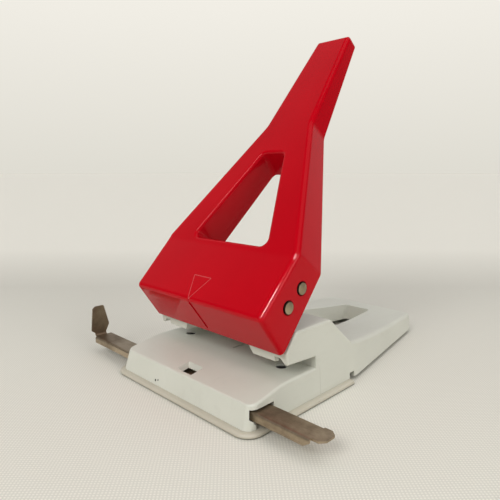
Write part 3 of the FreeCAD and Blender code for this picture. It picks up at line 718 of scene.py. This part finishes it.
class Finishes:
    """Every finish of the machine, built once."""

    def __init__(self, away: Vector) -> None:
        """Build the materials.

        Args:
            away: Level direction in which the camera looks.
        """
        effects = Effects()
        self.red = Enamel(
            "red_enamel", (0.49, 0.0016, 0.0085, 1.0), (0.45, 0.0013, 0.0075, 1.0), (0.22, 0.02, 0.02, 1.0),
            gloss=0.07, coat=0.0, level=0.15, chip_limit=0.88, dulling=0.06).material(effects)
        # lighter red that paints the highlight in the triangle's groove
        self.highlight_red = Enamel(
            "painted_highlight_red_enamel", (0.60, 0.075, 0.080, 1.0), (0.56, 0.065, 0.070, 1.0), (0.22, 0.02, 0.02, 1.0),
            gloss=0.15, coat=0.0, level=0.2).material(effects)
        self.grey = Enamel(
            "light_grey_enamel", (0.65, 0.655, 0.585, 1.0), (0.61, 0.615, 0.545, 1.0),
            (0.25, 0.23, 0.19, 1.0), gloss=0.32, coat=0.1, level=0.45, chip_limit=0.80, grime=0.10,
            parting=Parting(y=14.9 * MM, top=18.5 * MM),
            knocks=(Knock((-0.0209, -0.0424, 0.0053), radius=0.7 * MM),
                    Knock((-0.0186, -0.0422, 0.0060), radius=0.6 * MM))).material(effects)
        self.tray = SoftPlastic(
            "cream_plastic", (0.55, 0.52, 0.435, 1.0), (0.49, 0.455, 0.37, 1.0)).material(effects)
        # the rail's top face gets painted shade near the slot
        self.nickel = Plating(
            "brown_nickel", (0.54, 0.44, 0.315, 1.0), (0.22, 0.165, 0.112, 1.0),
            dark_top=DarkTop(height=11.4 * MM, near=62.0 * MM, far=92.0 * MM)).material(effects)
        # each pin's end gets a painted shadow of its clearance gap
        self.pivot_pin, self.drive_pin = [
            Plating(name, (0.52, 0.43, 0.29, 1.0), (0.27, 0.21, 0.13, 1.0), drawn=UNDRAWN, gap_shadow=gap_shadow,
                    dents=Layer(900.0, 0.15, 1.2 * MM, detail=3.0)).material(effects)
            for name, gap_shadow in (("pivot_pin_nickel", GapShadow(y=-12.0969 * MM, z=58.1851 * MM)),
                              ("drive_pin_nickel", GapShadow(y=-1.5572 * MM, z=66.4407 * MM)))]
        self.tool = Plating(
            "tool_steel", (0.55, 0.55, 0.56, 1.0), (0.38, 0.38, 0.38, 1.0), drawn=(1.0, 1.0, 0.05),
            roughness=0.22).material(effects)
        self.spring = Plating(
            "spring_steel", (0.36, 0.36, 0.37, 1.0), (0.20, 0.19, 0.19, 1.0), drawn=UNDRAWN,
            roughness=0.3).material(effects)
        self.zinc = Plating(
            "zinc_plate", (0.58, 0.56, 0.50, 1.0), (0.42, 0.39, 0.32, 1.0), drawn=UNDRAWN,
            roughness=0.38).material(effects)
        self.rubber = Rubber("black_rubber").material(effects)
        # the second colour is the painted shade at the fold
        self.cloth = TableCloth(
            "pale_cloth", (0.880, 0.862, 0.786, 1.0), (0.655, 0.641, 0.592, 1.0), (0.890, 0.871, 0.812, 1.0),
            away).material(effects)


# --- bench tools ------------------------------------------------------------------------


def deselect() -> None:
    """Leave edit mode and select nothing."""
    if bpy.context.object is not None and bpy.context.object.mode != "OBJECT":
        bpy.ops.object.mode_set(mode="OBJECT")
    for thing in bpy.data.objects:
        thing.select_set(False)


def take(piece: bpy.types.Object) -> None:
    """Select one piece and make it active.

    Args:
        piece: The piece.
    """
    deselect()
    piece.select_set(True)
    bpy.context.view_layer.objects.active = piece


def settle(piece: bpy.types.Object) -> None:
    """Apply every modifier and the piece's place to its mesh.

    Args:
        piece: The piece.
    """
    take(piece)
    for modifier in list(piece.modifiers):
        bpy.ops.object.modifier_apply(modifier=modifier.name)
    bpy.ops.object.transform_apply(location=True, rotation=True, scale=True)


def dress(piece: bpy.types.Object, finish: bpy.types.Material) -> None:
    """Give a piece one finish all over."""
    piece.data.materials.clear()
    piece.data.materials.append(finish)


def named(name: str) -> bpy.types.Object:
    """Name the active object and its mesh.

    Args:
        name: The name.

    Returns:
        The object.
    """
    piece = bpy.context.object
    piece.name = name
    piece.data.name = name
    return piece


@dataclass
class CastForm:
    """A casting or pressing worked up from its frame node: merged, cleaned and its edges broken.

    From the angle sharp, in degrees, an edge is broken and shaded as one. Up to the angle flat, two faces are
    made one.
    """

    node: str
    name: str
    body: Body
    slot: str
    edge: float
    segments: int = 3
    sharp: float = 32.0
    flat: float = 0.6
    weld: float = 0.005 * MM

    def make(self, nodes: dict[str, bpy.types.Object], finish: bpy.types.Material) -> bpy.types.Object:
        """Build the piece in place of its node.

        Args:
            nodes: The frame's nodes by name.
            finish: Material of the piece.

        Returns:
            The finished piece.
        """
        deselect()
        mesh = nodes[self.node].data.copy()
        piece = bpy.data.objects.new(self.name, mesh)
        mesh.name = self.name
        bpy.context.scene.collection.objects.link(piece)
        take(piece)
        bpy.ops.object.mode_set(mode="EDIT")
        bpy.ops.mesh.select_all(action="SELECT")
        bpy.ops.mesh.remove_doubles(threshold=self.weld)
        bpy.ops.mesh.customdata_custom_splitnormals_clear()
        bpy.ops.mesh.dissolve_limited(angle_limit=math.radians(self.flat))
        bpy.ops.object.mode_set(mode="OBJECT")
        bevel = piece.modifiers.new("edge", "BEVEL")
        bevel.width = self.edge
        bevel.segments = self.segments
        bevel.limit_method = "ANGLE"
        bevel.angle_limit = math.radians(self.sharp)
        bevel.use_clamp_overlap = True
        bevel.harden_normals = False
        bpy.ops.object.modifier_apply(modifier="edge")
        self.smooth(piece)
        dress(piece, finish)
        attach(piece, self.body.value)
        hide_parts(self.node)
        LOG.info("%s from node %s, %d faces", self.name, self.node, len(piece.data.polygons))
        return piece

    def smooth(self, piece: bpy.types.Object) -> None:
        """Shade the rounds smooth and keep the large faces flat.

        Args:
            piece: The piece.
        """
        take(piece)
        bpy.ops.object.shade_smooth_by_angle(angle=math.radians(self.sharp))
        level = piece.modifiers.new("level", "WEIGHTED_NORMAL")
        level.keep_sharp = True
        level.mode = "FACE_AREA"
        bpy.ops.object.modifier_apply(modifier="level")


# --- sub-assemblies ---------------------------------------------------------------------


@dataclass
class Lever:
    """Red cranked lever with its drive pin.

    crown, fold and chin are points of its middle: distance up the top face from its front edge, and depth
    under it. The mark is a triangle on the top face with its tip part of the way round the front edge, and a
    line from there down the front face.
    """

    tilt: float = 51.9
    front_top: tuple[float, float] = (-29.6 * MM, 54.5 * MM)
    crown: tuple[float, float] = (-0.6 * MM, -2.9 * MM)
    fold: tuple[float, float] = (36.8 * MM, 0.5 * MM)
    chin: tuple[float, float] = (-8.35 * MM, 23.1 * MM)
    edge_round: float = 3.0 * MM
    edge_steps: int = 6
    groove_width: float = 0.55 * MM
    shallow: float = 0.12 * MM
    deep: float = 0.5 * MM
    mark_x: float = -1.2 * MM
    tip_x: float = -2.0 * MM
    tip_turn: float = 0.56
    arrow_half: float = 7.2 * MM
    arrow_high: float = 15.9 * MM
    line_end: float = 24.0 * MM
    form: CastForm = field(default_factory=lambda: CastForm(
        "lever_casting", "lever_body", Body.LEVER, "lever_enamel", 0.5 * MM))

    def spot(self, x: float, u: float, d: float) -> Vector:
        """Place of a point of the lever.

        Args:
            x: Distance to the operator's right.
            u: Distance up the lever's top face from its front edge.
            d: Depth under that face.

        Returns:
            The point in the frame.
        """
        tilt = math.radians(self.tilt)
        y = self.front_top[0] + u * math.cos(tilt) + d * math.sin(tilt)
        z = self.front_top[1] + u * math.sin(tilt) - d * math.cos(tilt)
        return Vector((x, y, z))

    def cutter(self, start: Vector, end: Vector, outward: Vector, depth: float) -> bpy.types.Object:
        """Long thin bar for cutting a groove.

        Args:
            start: One end of the groove on the surface.
            end: Its other end.
            outward: Normal of the surface.
            depth: Depth of the groove.

        Returns:
            The cutting bar.
        """
        deselect()
        bpy.ops.mesh.primitive_cube_add(size=1.0)
        bar = named("groove_cutter")
        along = (end - start).normalized()
        across = along.cross(outward).normalized()
        columns = (across * self.groove_width, end - start, outward * depth * 2)
        bar.matrix_world = Matrix.Translation((start + end) / 2) @ Matrix(columns).transposed().to_4x4()
        return bar

    def edge_path(self, top: Vector, front: Vector) -> list[tuple[Vector, Vector]]:
        """Follow the rounded front edge from the top face to the front face.

        Args:
            top: Normal of the top face.
            front: Normal of the front face.

        Returns:
            Points on the middle of the edge and their normals.
        """
        crown = self.spot(0, *self.crown)
        centre = crown - (top + front).normalized() * self.edge_round / math.cos(top.angle(front) / 2)
        normals = [top.slerp(front, step / self.edge_steps) for step in range(self.edge_steps + 1)]
        return [(centre + normal * self.edge_round, normal) for normal in normals]

    def groove(self, piece: bpy.types.Object, places: list[Vector], normals: list[Vector], depth: float,
               finish: bpy.types.Material) -> None:
        """Cut a groove into the casting.

        Args:
            piece: The casting.
            places: Points on its surface that the groove runs through.
            normals: Normals of the surface there.
            depth: Depth of the groove.
            finish: Finish of the groove.
        """
        for step in range(len(places) - 1):
            outward = (normals[step] + normals[step + 1]).normalized()
            bar = self.cutter(places[step], places[step + 1], outward, depth)
            dress(bar, finish)
            cut = piece.modifiers.new("groove", "BOOLEAN")
            cut.operation = "DIFFERENCE"
            cut.solver = "EXACT"
            cut.material_mode = "TRANSFER"
            cut.object = bar
            take(piece)
            bpy.ops.object.modifier_apply(modifier="groove")
            bpy.data.objects.remove(bar)

    def engrave(self, piece: bpy.types.Object, worn: bpy.types.Material, plain: bpy.types.Material) -> None:
        """Cut the centring triangle and the centre line into the casting.

        Args:
            piece: The casting.
            worn: Finish of the triangle's groove, a lighter red that paints a highlight in it.
            plain: Finish of the centre line's groove.
        """
        crown, fold, chin = [self.spot(0, *point) for point in (self.crown, self.fold, self.chin)]
        top = X_AXIS.cross(fold - crown).normalized()
        front = (chin - crown).cross(X_AXIS).normalized()
        path = self.edge_path(top, front)
        tip = round(self.tip_turn * self.edge_steps)
        base = crown + (fold - crown).normalized() * self.arrow_high
        flat = (base - path[0][0]).length
        heights = [base] + [place for place, _ in path[:tip + 1]]
        normals = [top] + [normal for _, normal in path[:tip + 1]]
        lengths = [0.0] + [flat + self.edge_round * top.angle(normal) for _, normal in path[:tip + 1]]
        corners = []
        for side in (-1, 1):
            corner = self.mark_x + side * self.arrow_half
            places = [Vector((corner + (self.tip_x - corner) * length / lengths[-1], height.y, height.z))
                      for length, height in zip(lengths, heights)]
            corners.append(places[0])
            self.groove(piece, places, normals, self.shallow, worn)
        self.groove(piece, corners, [top, top], self.shallow, worn)
        foot = crown + (chin - crown).normalized() * self.line_end
        places = [Vector((self.tip_x, place.y, place.z)) for place, _ in path[tip:]]
        places.append(Vector((self.mark_x, foot.y, foot.z)))
        self.groove(piece, places, [normal for _, normal in path[tip:]] + [front], self.deep, plain)

    def make(self, nodes: dict[str, bpy.types.Object], finishes: Finishes) -> None:
        """Build the lever.

        Args:
            nodes: The frame's nodes by name.
            finishes: The machine's finishes.
        """
        piece = self.form.make(nodes, finishes.red)
        self.engrave(piece, finishes.highlight_red, finishes.red)
        self.form.smooth(piece)
        dress(nodes["drive_pin"], finishes.drive_pin)
        dress(nodes["drive_pin_rings"], finishes.spring)


@dataclass
class Base:
    """Light grey casting with its pins, bushes, cover and feet."""

    form: CastForm = field(default_factory=lambda: CastForm(
        "base_casting", "base_body", Body.BASE, "base_enamel", 0.35 * MM, segments=2))

    def make(self, nodes: dict[str, bpy.types.Object], finishes: Finishes) -> None:
        """Build the base.

        Args:
            nodes: The frame's nodes by name.
            finishes: The machine's finishes.
        """
        self.form.make(nodes, finishes.grey)
        dress(nodes["pivot_pin"], finishes.pivot_pin)
        dress(nodes["pivot_pin_rings"], finishes.spring)
        dress(nodes["rail_cover"], finishes.zinc)
        dress(nodes["rail_cover_screws"], finishes.zinc)
        dress(nodes["rail_spring"], finishes.spring)
        for hand in Hand:
            dress(nodes["guide_bush_" + hand.value], finishes.tool)
            dress(nodes["die_bush_" + hand.value], finishes.tool)
            dress(nodes["rear_foot_" + hand.value], finishes.rubber)


@dataclass
class PunchUnit:
    """Punch, crosshead, collar and return spring of one side.

    The spring's wire has that many sides and each turn that many steps. keep, the share of its length that is
    left when it is pressed down, is not used.
    """

    hand: Hand
    wire: float = 1.1 * MM
    radius: float = 4.7 * MM
    seat: float = 39.1 * MM
    turns: int = 5
    sides: int = 10
    steps: int = 28
    sharp: float = 50.0
    weld: float = 0.002 * MM
    keep: float = 0.42

    def spring(self, nodes: dict[str, bpy.types.Object], finishes: Finishes) -> bpy.types.Object:
        """Wind the return spring.

        Args:
            nodes: The frame's nodes by name.
            finishes: The machine's finishes.

        Returns:
            The spring.
        """
        node = "return_spring_" + self.hand.value
        low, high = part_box(node)
        x = (low.x + high.x) / 2
        deselect()
        bpy.ops.mesh.primitive_circle_add(vertices=self.sides, radius=self.wire / 2, fill_type="NGON",
                                          location=(self.radius, 0, 0), rotation=(math.pi / 2, 0, 0))
        piece = named("wound_spring_" + self.hand.value)
        bpy.ops.object.transform_apply(location=True, rotation=True, scale=True)
        winding = piece.modifiers.new("winding", "SCREW")
        winding.axis = "Z"
        winding.angle = math.tau * self.turns
        winding.screw_offset = high.z - low.z - self.wire
        winding.steps = self.steps * self.turns
        winding.render_steps = self.steps * self.turns
        winding.use_merge_vertices = True
        take(piece)
        bpy.ops.object.modifier_apply(modifier="winding")
        piece.location = (x, 0, low.z + self.wire / 2)
        settle(piece)
        bpy.ops.object.mode_set(mode="EDIT")
        bpy.ops.mesh.select_all(action="SELECT")
        bpy.ops.mesh.remove_doubles(threshold=self.weld)
        bpy.ops.mesh.fill_holes(sides=self.sides)
        bpy.ops.mesh.select_all(action="SELECT")
        bpy.ops.mesh.normals_make_consistent(inside=False)
        bpy.ops.object.mode_set(mode="OBJECT")
        bpy.ops.object.shade_smooth_by_angle(angle=math.radians(self.sharp))
        dress(piece, finishes.spring)
        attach(piece, Body.BASE.value)
        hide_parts(node)
        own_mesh(piece)
        return piece

    def make(self, nodes: dict[str, bpy.types.Object], finishes: Finishes) -> None:
        """Build the punch unit.

        Args:
            nodes: The frame's nodes by name.
            finishes: The machine's finishes.
        """
        self.spring(nodes, finishes)
        dress(nodes["punch_" + self.hand.value], finishes.tool)
        dress(nodes["crosshead_" + self.hand.value], finishes.tool)
        dress(nodes["spring_collar_" + self.hand.value], finishes.zinc)


@dataclass
class PaperRail:
    """Sliding channel rail with its upright stop."""

    form: CastForm = field(default_factory=lambda: CastForm(
        "format_rail", "rail_body", Body.RAIL, "rail_nickel", 0.14 * MM, segments=2))

    def make(self, nodes: dict[str, bpy.types.Object], finishes: Finishes) -> None:
        """Build the rail.

        Args:
            nodes: The frame's nodes by name.
            finishes: The machine's finishes.
        """
        self.form.make(nodes, finishes.nickel)


@dataclass
class ChipTray:
    """Soft tray under the table block."""

    form: CastForm = field(default_factory=lambda: CastForm(
        "chip_tray", "tray_body", Body.TRAY, "tray_plastic", 0.3 * MM, segments=2, sharp=25.0))

    def make(self, nodes: dict[str, bpy.types.Object], finishes: Finishes) -> None:
        """Build the tray.

        Args:
            nodes: The frame's nodes by name.
            finishes: The machine's finishes.
        """
        self.form.make(nodes, finishes.tray)


# --- stage ------------------------------------------------------------------------------


@dataclass(frozen=True)
class Lamp:
    """Soft, even light from far away.

    source is the direction that it comes from, strength its power on a facing square metre and spread its
    width in degrees.
    """

    name: str
    source: Place
    strength: float
    spread: float
    on_matt: bool = True

    def hang(self, tint: Colour) -> None:
        """Add the lamp to the scene.

        Args:
            tint: Colour of its light.
        """
        source = Vector(self.source)
        data = bpy.data.lights.new(self.name, "SUN")
        data.energy = self.strength
        data.angle = math.radians(self.spread)
        data.color = tint[:3]
        lamp = bpy.data.objects.new(self.name, data)
        bpy.context.scene.collection.objects.link(lamp)
        lamp.location = source
        lamp.rotation_euler = (-source).to_track_quat("-Z", "Y").to_euler()
        lamp.visible_diffuse = self.on_matt


@dataclass
class Stage:
    """Pale table, soft studio light and the camera.

    The wall behind the table brightens upwards until wall_slope. What mirrors in gloss is a room as bright as
    wall ahead of the camera and as dark as room behind it.
    """

    image: float = 500.0
    focal: float = 480.6
    place: Place = (0.2058, -0.1936, 0.1265)
    azimuth: float = 44.5
    pitch: float = 9.3
    sensor: float = 36.0
    clip_start: float = 0.01
    clip_end: float = 100.0
    table_size: float = 60.0
    table_gap: float = 0.05 * MM
    ambient: float = 0.5
    room: float = 0.05
    wall: float = 0.5
    wall_edge: tuple[float, float] = (0.1, 0.6)
    ambient_tint: Colour = (1.0, 0.985, 0.955, 1.0)
    wall_low: Colour = (0.737, 0.716, 0.645, 1.0)
    wall_high: Colour = (0.888, 0.860, 0.791, 1.0)
    wall_slope: float = 0.33
    lamps: tuple[Lamp, ...] = (
        Lamp("overhead", (0.20, 0.30, 1.05), 0.34, 50.0),
        Lamp("front", (0.15, -1.00, 0.85), 1.36, 30.0),
        Lamp("right", (1.15, 0.10, 0.55), 0.67, 26.0),
        Lamp("window", (0.41, -0.40, 0.75), 1.5, 5.0, on_matt=False))

    def view(self) -> Vector:
        """Direction in which the camera looks.

        Returns:
            The direction, of length 1.
        """
        azimuth, pitch = math.radians(self.azimuth), math.radians(self.pitch)
        level = math.cos(pitch)
        return Vector((-math.sin(azimuth) * level, math.cos(azimuth) * level, -math.sin(pitch)))

    def away(self) -> Vector:
        """Level part of the camera's direction, of length 1."""
        view = self.view()
        return Vector((view.x, view.y, 0.0)).normalized()

    def camera(self) -> None:
        """Set up the camera."""
        data = bpy.data.cameras.new("camera")
        data.sensor_fit = "AUTO"
        data.sensor_width = self.sensor
        data.lens = self.focal / self.image * self.sensor
        data.clip_start = self.clip_start
        data.clip_end = self.clip_end
        camera = bpy.data.objects.new("camera", data)
        bpy.context.scene.collection.objects.link(camera)
        camera.location = self.place
        camera.rotation_euler = self.view().to_track_quat("-Z", "Y").to_euler()
        bpy.context.scene.camera = camera

    def table(self, cloth: bpy.types.Material) -> None:
        """Lay the table top just under the machine.

        Args:
            cloth: Finish of the table top.
        """
        deselect()
        bpy.ops.mesh.primitive_plane_add(size=self.table_size, location=(0, 0, -self.table_gap))
        top = named("table_top")
        bpy.ops.object.transform_apply(location=True, rotation=True, scale=True)
        dress(top, cloth)

    def wall_colour(self, make: Wiring, place: Socket) -> Socket:
        """Colour of the wall behind the table, darker at its foot as painted shade.

        Args:
            make: The world being built.
            place: Direction of the view.

        Returns:
            The colour.
        """
        height = make.node("ShaderNodeSeparateXYZ", {"Vector": place}).outputs["Z"]
        level = make.vector_maths("MULTIPLY", place, (1.0, 1.0, 0.0)).outputs["Vector"]
        reach = make.vector_maths("LENGTH", level).outputs["Value"]
        # painted shade: the wall darkens towards its foot
        share = make.maths("DIVIDE", make.maths("DIVIDE", height, reach), self.wall_slope)
        ramp = make.node("ShaderNodeValToRGB", {"Fac": share})
        ramp.color_ramp.elements[0].color = self.wall_low
        ramp.color_ramp.elements[1].color = self.wall_high
        return ramp.outputs["Color"]

    def room_light(self, make: Wiring, place: Socket) -> Socket:
        """Brightness of the room that mirrors in gloss.

        Args:
            make: The world being built.
            place: Direction of the view.

        Returns:
            The brightness.
        """
        ahead = make.vector_maths("DOT_PRODUCT", place, self.away()).outputs["Value"]
        start, end = self.wall_edge
        room = make.node("ShaderNodeMapRange", {
            "Value": ahead, "From Min": start, "From Max": end, "To Min": self.room, "To Max": self.wall},
            interpolation_type="SMOOTHSTEP")
        return room.outputs["Result"]

    def light(self) -> None:
        """Light the table softly from above, from the front and from the right."""
        world = bpy.data.worlds.new("studio")
        world.use_nodes = True
        make = Wiring(world.node_tree)
        ambient, result = [make.tree.nodes[name] for name in ("Background", "World Output")]
        make.feed(ambient, {"Color": self.ambient_tint, "Strength": self.ambient})
        place = make.node("ShaderNodeTexCoord", {}).outputs["Generated"]
        mirrored = make.node("ShaderNodeBackground", {
            "Color": self.ambient_tint, "Strength": self.room_light(make, place)})
        seen = make.node("ShaderNodeBackground", {"Color": self.wall_colour(make, place)})
        rays = make.node("ShaderNodeLightPath", {}).outputs
        around = make.node("ShaderNodeMixShader", {"Fac": rays["Is Glossy Ray"], 1: ambient.outputs[0],
                                                   2: mirrored.outputs[0]})
        whole = make.node("ShaderNodeMixShader", {"Fac": rays["Is Camera Ray"], 1: around.outputs[0],
                                                  2: seen.outputs[0]})
        make.join(whole.outputs[0], result.inputs["Surface"])
        bpy.context.scene.world = world
        for lamp in self.lamps:
            lamp.hang(self.ambient_tint)
        bpy.context.scene.view_settings.view_transform = "Standard"

    def make(self, finishes: Finishes) -> None:
        """Set the stage.

        Args:
            finishes: The machine's finishes.
        """
        self.camera()
        self.table(finishes.cloth)
        self.light()


def main() -> None:
    """Set the stage and dress the frame."""
    logging.basicConfig(level=logging.INFO, format="%(name)s: %(message)s")
    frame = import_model()
    nodes = frame["nodes"]
    stage = Stage()
    finishes = Finishes(stage.away())
    stage.make(finishes)
    Base().make(nodes, finishes)
    Lever().make(nodes, finishes)
    PaperRail().make(nodes, finishes)
    ChipTray().make(nodes, finishes)
    for hand in Hand:
        PunchUnit(hand).make(nodes, finishes)
        LOG.info("punch unit %s", hand.value)
    deselect()


if __name__ == "__main__":
    main()
